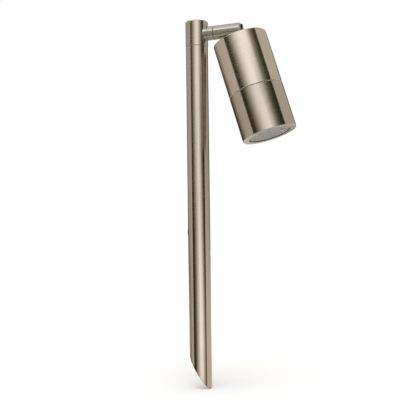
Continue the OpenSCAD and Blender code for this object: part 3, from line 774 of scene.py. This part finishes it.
def tent_level(azimuth, height, studio):
    """Brightness of the tent's wall, with the azimuth from the camera in degrees, positive to the
    right. The glow has dark flags on both sides, with leaning edges, then grey cards, and a dark
    opening behind the object. Above them hangs the ceiling's pale edge."""
    left_end = at_height(LEFT_CARD_ENDS, height)
    behind = np.maximum(eased(left_end + LEFT_END_HALF, left_end - LEFT_END_HALF, azimuth),
                        eased(*RIGHT_CARD_END, azimuth))
    card = card_level(azimuth, height, studio)
    side = card + (back_level(height, studio) - card) * behind
    left = math.degrees(studio.left_edge) + at_height(LEFT_EDGE_LEAN, height)
    right = math.degrees(studio.right_edge) + RIGHT_EDGE_LEAN * eased(*RIGHT_EDGE_HEIGHTS, height)
    is_side = np.maximum(eased(left + EDGE_HALF, left - EDGE_HALF, azimuth),
                         eased(right - EDGE_HALF, right + EDGE_HALF, azimuth))
    glow = glow_level(azimuth, height, studio)
    level = glow + (side - glow) * is_side
    above = eased(*CEILING_HEIGHTS, height) * ahead(azimuth)
    return level + (studio.ceiling_level - level) * above


def ahead(azimuth):
    """1 over the part of the tent that faces the object from the camera's side, 0 elsewhere."""
    return eased(*AHEAD_LEFT, azimuth) * eased(*AHEAD_RIGHT, azimuth)


def light_tent(studio):
    """A closed drum round the object that glows inwards. Its points are r (cos a, sin a) and z, with
    r and z carried from the middle of the underside, up the wall, to the middle of the ceiling."""
    wall = np.linspace(studio.tent_bottom, studio.tent_top, WALL_STEPS)
    rim = np.linspace(RIM_START, 1, RIM_STEPS)
    radius = studio.tent_radius * np.concatenate([rim, np.ones(wall.size), rim[::-1]])
    height = np.concatenate([np.full(rim.size, wall[0]), wall, np.full(rim.size, wall[-1])])
    azimuth = np.linspace(-180, 180, TENT_STEPS, endpoint=False)
    angle = np.radians(azimuth) - math.pi / 2 + studio.camera_turn
    points = np.stack([
        radius[:, None] * np.cos(angle), radius[:, None] * np.sin(angle),
        np.broadcast_to(height[:, None], (height.size, TENT_STEPS))], -1)
    level = tent_level(azimuth[None, :], height[:, None], studio)
    level[:rim.size] = studio.under_level
    ring = studio.flag_level + (studio.ceiling_level - studio.flag_level) * ahead(azimuth)
    outwards = eased(*CEILING_RING, rim)[::-1, None]
    level[-rim.size:] = studio.overhead_level + (ring - studio.overhead_level) * outwards
    tent = surface_of("light_tent", points.reshape(-1, 3), grid_faces(height.size, TENT_STEPS))
    share = level / studio.white_level
    green = np.maximum(share, DIMMEST_SHARE) ** at_height(WARMTH, height)[:, None]
    colour = np.ones(level.shape + (4,), np.float32)
    colour[..., :3] = np.stack([level, level * green, level * green * share ** BLUE_POWER], -1)
    glow = tent.data.attributes.new("glow", "FLOAT_COLOR", "POINT")
    glow.data.foreach_set("color", colour.ravel())
    finish = Finish("tent_cloth")
    glow_colour = finish.node("Attribute", attribute_name="glow").outputs["Color"]
    cloth = finish.end_in("Emission", {"Color": glow_colour, "Strength": 1.0})
    cloth.cycles.emission_sampling = "NONE"
    tent.data.materials.append(cloth)
    tent.visible_camera = False
    tent.visible_shadow = False
    return tent


def pale_floor(studio):
    """A wide floor under the stake's point. The camera sees it fade to white away from the object,
    and near the object it is plainly lit, so that it keeps the shadow."""
    corners = FLOOR_HALF * np.array([[-1, -1], [1, -1], [1, 1], [-1, 1]])
    points = np.column_stack([corners, np.full(4, FLOOR_LEVEL)])
    floor = surface_of("floor", points, np.array([[0, 1, 2, 3]]))
    finish = Finish("pale_floor")
    away = finish.vector("LENGTH", finish.vector("MULTIPLY", finish.place(), (1, 1, 0)))
    white = finish.number("MULTIPLY", finish.seen(), finish.remap(away, FLOOR_FADE, *FLOOR_WHITE))
    paint = finish.node("BsdfDiffuse", {"Color": opaque(studio.floor_colour)}).outputs[0]
    glow = finish.node("Emission", {"Strength": white}).outputs[0]
    floor.data.materials.append(finish.end_in("AddShader", {0: paint, 1: glow}))
    floor.visible_glossy = False
    return floor


def white_world():
    """A world that the camera, and gloss and glass, see as white, and that lights the rest softly."""
    finish = Finish("studio_world", "worlds", "OutputWorld")
    lit, white = (
        finish.node("Background", {"Color": (1, 1, 1, 1), "Strength": strength}).outputs[0]
        for strength in (WORLD_LIGHT, WORLD_WHITE))
    world = finish.end_in("MixShader", {0: finish.seen(), 1: lit, 2: white})
    bpy.context.scene.world = world


def overhead_lamp(studio):
    """A soft square lamp above the object, which lights matt surfaces and gives the floor its shadow."""
    data = bpy.data.lights.new("overhead_softbox", "AREA")
    data.shape = "SQUARE"
    data.size = studio.lamp_size
    data.energy = studio.lamp_power
    lamp = bpy.data.objects.new("overhead_softbox", data)
    bpy.context.scene.collection.objects.link(lamp)
    lamp.location = studio.lamp_place
    lamp.rotation_euler = studio.lamp_turn
    lamp.visible_glossy = False
    lamp.visible_camera = False


def camera_matrix(studio):
    """The camera's axes: its level direction turned about the vertical, pitched up, then rolled."""
    turn, pitch, roll = studio.camera_turn, studio.camera_pitch, studio.camera_roll
    level_right = Vector((math.cos(turn), math.sin(turn), 0))
    level_forward = Vector((-math.sin(turn), math.cos(turn), 0))
    vertical = Vector((0, 0, 1))
    pitched_up = math.cos(pitch) * vertical - math.sin(pitch) * level_forward
    forward = math.sin(pitch) * vertical + math.cos(pitch) * level_forward
    right = math.cos(roll) * level_right - math.sin(roll) * pitched_up
    up = math.sin(roll) * level_right + math.cos(roll) * pitched_up
    turned = Matrix((right, up, -forward)).transposed().to_4x4()
    return Matrix.Translation(Vector(studio.camera_place)) @ turned


class SPOTLIGHT_OT_stage(Operator):
    """Set up the floor, the light tent, the lamp and the camera"""

    bl_idname = "spotlight.stage"
    bl_label = "Set up the studio"

    def execute(self, context):
        studio = context.scene.spotlight.studio
        light_tent(studio)
        pale_floor(studio)
        white_world()
        overhead_lamp(studio)
        data = bpy.data.cameras.new("camera")
        data.sensor_width = 36.0
        data.lens = studio.camera_lens
        data.clip_start = 0.01
        camera = bpy.data.objects.new("camera", data)
        context.scene.collection.objects.link(camera)
        camera.matrix_world = camera_matrix(studio)
        context.scene.camera = camera
        context.scene.view_settings.view_transform = "Standard"
        return {"FINISHED"}


class SPOTLIGHT_PT_panel(Panel):
    """Sidebar panel with a button for each group of pieces"""

    bl_idname = "SPOTLIGHT_PT_panel"
    bl_label = "Garden spotlight"
    bl_space_type = "VIEW_3D"
    bl_region_type = "UI"
    bl_category = "Spotlight"

    def draw(self, context):
        for operator in OPERATORS:
            self.layout.operator(operator.bl_idname)


OPERATORS = (
    SPOTLIGHT_OT_post, SPOTLIGHT_OT_arm, SPOTLIGHT_OT_head, SPOTLIGHT_OT_thread, SPOTLIGHT_OT_lens,
    SPOTLIGHT_OT_small_parts, SPOTLIGHT_OT_lamp, SPOTLIGHT_OT_stage,
)
CLASSES = (NickelLook, LensLook, SmallPartsLook, StudioLook, ThreadSizes, SpotlightSettings,
           *OPERATORS, SPOTLIGHT_PT_panel)


def register():
    """Adds the classes and the settings to Blender."""
    for item in CLASSES:
        bpy.utils.register_class(item)
    bpy.types.Scene.spotlight = PointerProperty(type=SpotlightSettings)


def unregister():
    """Takes them out again."""
    del bpy.types.Scene.spotlight
    for item in reversed(CLASSES):
        bpy.utils.unregister_class(item)


def main():
    """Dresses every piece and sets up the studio."""
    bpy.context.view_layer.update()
    register()
    settings = bpy.context.scene.spotlight
    for group, values in LOOKS.items():
        for name, value in values.items():
            setattr(getattr(settings, group), name, value)
    bpy.ops.spotlight.post()
    bpy.ops.spotlight.arm()
    bpy.ops.spotlight.head()
    bpy.ops.spotlight.thread()
    bpy.ops.spotlight.lens()
    bpy.ops.spotlight.small_parts()
    bpy.ops.spotlight.lamp()
    bpy.ops.spotlight.stage()


if __name__ == "__main__":
    main()
